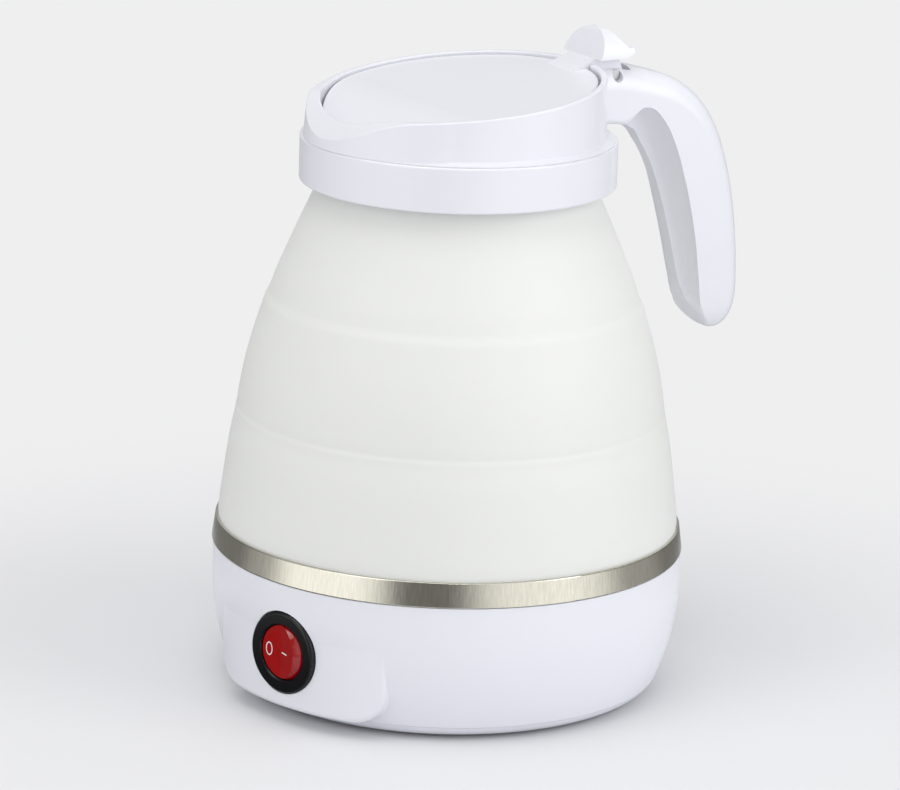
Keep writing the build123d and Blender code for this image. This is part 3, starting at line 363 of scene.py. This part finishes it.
# Steel band and pan.
# The band is thin stainless strip, brushed upright, that clamps the foot of the silicone.
# The pan inside is pressed from stainless sheet, and has a plainer and duller finish of its own.
steel, wire, feed = new_finish("brushed_steel", Metallic=1.0)
streaks = grain(wire, 0.0005, detail=3, stretch=(1, 1, 0.03))
feed("Base Color", streaks.tint((0.57, 0.55, 0.465), (0.77, 0.745, 0.645)))
feed("Roughness", 0.12 + 0.12 * streaks)
feed("Normal", bumps(wire, streaks, depth=0.00002, strength=0.6))
dress(steel, "metal_band")
pan_steel, wire, feed = new_finish("pan_steel", Metallic=1.0)
feed("Base Color", grain(wire, 0.004).tint((0.62, 0.62, 0.62), (0.72, 0.72, 0.72)))
feed("Roughness", 0.3 + 0.12 * grain(wire, 0.002, stretch=(1, 1, 0.2)))
dress(pan_steel, "steel_pan")

# Heater and safety parts under the pan.
# An aluminium plate is brazed under the pan, with a horseshoe tube, a button thermostat on its
# strap and a thermal fuse against it. The strap, the screws and the pins are bright steel.
aluminium = uneven_finish(
    "aluminium", shades=((0.66, 0.67, 0.68), (0.76, 0.77, 0.78)), patch=0.002,
    gloss=(0.36, 0.5), gloss_patch=0.001, Metallic=1.0)
dress(aluminium, "diffuser_plate", "heater_element")
screw_steel = uneven_finish(
    "screw_steel", shades=((0.48, 0.48, 0.49), (0.58, 0.58, 0.59)), patch=0.002,
    gloss=(0.26, 0.4), gloss_patch=0.0008, Metallic=1.0)
dress(screw_steel, "heater_pins", "thermostat_bracket", "bracket_screws", "base_screws", "handle_screws",
      "lid_hinge_pin")
fuse_sleeve, wire, feed = new_finish("fuse_sleeve", Roughness=0.7)
feed("Base Color", grain(wire, 0.0004, detail=1).tint((0.78, 0.77, 0.72), (0.86, 0.85, 0.81)))
dress(fuse_sleeve, "thermal_fuse")

# Round rocker switch.
# A black snap-in housing holds a glossy red rocker, whose two faces meet in a valley. The ring is
# printed on the side that is pressed for off. The inlet and the thermostat are black plastic too.
black_plastic = uneven_finish(
    "black_plastic", shades=((0.003, 0.003, 0.0038), (0.006, 0.006, 0.0075)), patch=0.002,
    gloss=(0.24, 0.34), gloss_patch=0.0006,
    bump_patch=0.0003, bump_depth=0.00001, bump_strength=0.6,
    IOR=1.5, Specular_IOR_Level=0.35)
dress(black_plastic, "switch_housing", "inlet_socket", "thermostat")
red_plastic = uneven_finish(
    "red_plastic", shades=((0.3, 0.002, 0.003), (0.37, 0.004, 0.004)), patch=0.004,
    gloss=(0.08, 0.13), gloss_patch=0.001, IOR=1.5, Coat_Weight=0.4, Coat_Roughness=0.03)
mark_white, wire, feed = new_finish("mark_white", Roughness=0.5)
feed("Base Color", grain(wire, 0.0005).tint((0.78, 0.74, 0.72), (0.88, 0.85, 0.83)))
ball_radius = 0.0082
valley = 0.0038             # how far the valley stands out from the pivot
throw = math.radians(18)
rocker_round = 0.0012
hair = 0.00001              # what lies nearer than this counts as touching
weld_gap = 0.000001
mark_lift = 0.00003
pivot = Vector((-0.057387, -0.016456, 0.0199))

# The switch's own axes are across its face, up and outward, and at rest its ring side is pressed in.
outward = Vector((pivot.x, pivot.y, 0)).normalized()
across = Vector((0, 0, 1)).cross(outward)
switch_frame = Matrix((across, Vector((0, 0, 1)), outward)).transposed().to_4x4()
switch_frame.translation = pivot
rest_tilt = Matrix.Rotation(-throw / 2, 4, "Y")


def finished(name, shape, material, round_edge=None):
    """Turns a bmesh into a piece, with its edges rounded if asked."""
    mesh = bpy.data.meshes.new(name)
    shape.to_mesh(mesh)
    shape.free()
    made = put_in_scene(name, mesh)
    dress(material, made)
    if round_edge:
        bevel = made.modifiers.new("edges", "BEVEL")
        bevel.width, bevel.segments, bevel.harden_normals = round_edge, 5, True
        bevel.limit_method, bevel.angle_limit = "ANGLE", math.radians(25)
    mesh.polygons.foreach_set("use_smooth", [True] * len(mesh.polygons))
    return made


def keep_below(shape, spot, normal):
    """Cuts away what stands past a plane and closes the cut."""
    cut = bmesh.ops.bisect_plane(shape, geom=shape.verts[:] + shape.edges[:] + shape.faces[:], plane_co=spot,
                                 plane_no=normal, clear_outer=True)
    rim = [item for item in cut["geom_cut"] if isinstance(item, bmesh.types.BMEdge)]
    bmesh.ops.edgeloop_fill(shape, edges=rim)


def rocker_shape():
    """Ball-sided rocker whose two faces slope down to the valley between them."""
    whole, joined = bmesh.new(), bpy.data.meshes.new("rocker_halves")
    for side in (-1, 1):
        half = bmesh.new()
        bmesh.ops.create_uvsphere(half, u_segments=96, v_segments=64, radius=ball_radius)
        keep_below(half, (0, 0, valley), (-side * math.sin(throw / 2), 0, math.cos(throw / 2)))
        keep_below(half, (0, 0, 0), (-side, 0, 0))
        keep_below(half, (0, 0, 0), (0, 0, -1))
        half.to_mesh(joined)
        half.free()
        whole.from_mesh(joined)
    bmesh.ops.remove_doubles(whole, verts=whole.verts, dist=weld_gap)
    between = [face for face in whole.faces if all(abs(vert.co.x) < hair for vert in face.verts)]
    bmesh.ops.delete(whole, geom=between, context="FACES_ONLY")
    for edge in whole.edges:
        if all(abs(vert.co.x) < hair and vert.co.z > valley - hair for vert in edge.verts):
            edge.smooth = False
    whole.transform(switch_frame @ rest_tilt)
    return whole


rocker = finished("rocker_shell", rocker_shape(), red_plastic, rocker_round)
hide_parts("switch_rocker")


def mark(name, offset, outline, hole=None):
    """Printed mark on a face of the rocker: a flat outline, with a hole through it if one is given."""
    shape = bmesh.new()
    sets = [[shape.verts.new((x, y, 0)) for x, y in line] for line in (outline, hole or [])]
    if hole:
        count = len(outline)
        for k in range(count):
            shape.faces.new((sets[0][k], sets[0][(k + 1) % count], sets[1][(k + 1) % count], sets[1][k]))
    else:
        shape.faces.new(sets[0])
    lean = Matrix.Rotation(-math.copysign(throw / 2, offset), 4, "Y")
    height = valley + abs(offset) * math.tan(throw / 2)
    shape.transform(switch_frame @ rest_tilt @ Matrix.Translation((offset, 0, height)) @ lean
                    @ Matrix.Translation((0, 0, mark_lift)))
    return finished(name, shape, mark_white)


def oval(width, height, count=48):
    turns = [math.tau * k / count for k in range(count)]
    return [(width / 2 * math.cos(turn), height / 2 * math.sin(turn)) for turn in turns]


def bar(width, height):
    return [(x * width / 2, y * height / 2) for x, y in ((-1, -1), (1, -1), (1, 1), (-1, 1))]


off_mark = mark("off_mark", offset=-0.0042, outline=oval(0.0024, 0.0037), hole=oval(0.0018, 0.0031))
on_mark = mark("on_mark", offset=0.0019, outline=bar(0.0026, 0.00038))
for piece in (rocker, off_mark, on_mark):
    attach(piece, "rocker")

# Switch blades and inlet pins.
# The blades at the back of the switch and the three pins in the inlet are stamped from brass strip.
brass = uneven_finish(
    "brass", shades=((0.62, 0.5, 0.27), (0.76, 0.63, 0.36)), patch=0.002,
    gloss=(0.25, 0.37), gloss_patch=0.001, Metallic=1.0)
dress(brass, "switch_terminals", "inlet_pins")

# Feet.
# Four soft grey rubber discs are pressed into pockets in the bottom cover.
foot_rubber = uneven_finish(
    "foot_rubber", shades=((0.4, 0.4, 0.395), (0.47, 0.47, 0.465)), patch=0.001,
    gloss=(0.68, 0.84), gloss_patch=0.0006, IOR=1.45)
dress(foot_rubber, "rubber_feet")
